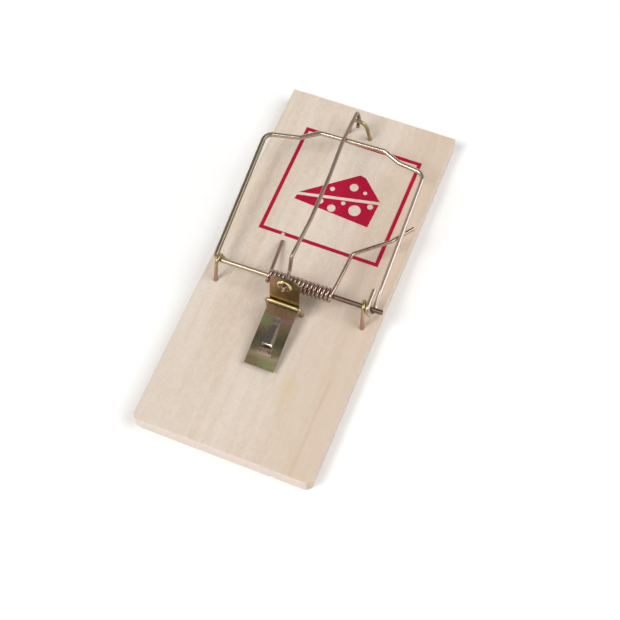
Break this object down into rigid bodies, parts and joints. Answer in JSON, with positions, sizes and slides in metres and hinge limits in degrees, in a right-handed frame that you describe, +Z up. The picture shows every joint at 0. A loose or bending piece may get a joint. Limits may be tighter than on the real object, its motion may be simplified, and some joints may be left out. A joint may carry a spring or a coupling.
{
  "type": "snap mouse trap",
  "caption": "Wooden-board snap mouse trap shown set: sprung wire bail held back by a locking bar that ends behind the catch tab of a sheet-metal bait pedal",
  "frame": {"origin": "centre of the board's underside", "axes": "+Z up, +Y along the board towards the locking bar's staple, +X to the right seen from the bait pedal's end"},
  "size_m": [0.0459, 0.1, 0.0208],
  "materials": {
    "board_wood": "planed pale softwood with a printed square frame",
    "bail_wire": "drawn steel wire, thin yellowish zinc",
    "spring_wire": "coppery spring wire",
    "staple_wire": "yellow zinc plated wire",
    "bar_wire": "dull drawn steel wire",
    "pedal_sheet": "yellow passivated sheet steel with rainbow tints"
  },
  "bodies": {
    "base": {"base_board": "board_wood", "left_axle_staple": "staple_wire", "right_axle_staple": "staple_wire", "bar_staple": "staple_wire", "pedal_staple": "staple_wire", "torsion_spring": "spring_wire"},
    "bail": {"bail": "bail_wire"},
    "locking_bar": {"locking_bar": "bar_wire"},
    "pedal": {"bait_pedal": "pedal_sheet"}
  },
  "joints": [
    {"name": "bail_swing", "type": "hinge", "parent": "base", "child": "bail", "pos_m": [0, -0.0063, 0.01], "axis": [0.9998, 0.0175, 0], "range_deg": [0, 180.4], "deforming": ["torsion_spring"]},
    {"name": "bar_swing", "type": "hinge", "parent": "base", "child": "locking_bar", "pos_m": [-0.002, 0.042, 0.0112], "axis": [-1, 0, 0], "range_deg": [0, 178]},
    {"name": "pedal_tilt", "type": "hinge", "parent": "base", "child": "pedal", "pos_m": [0.00055, -0.0123, 0.0099], "axis": [1, 0, 0], "range_deg": [0, 3.4]}
  ]
}
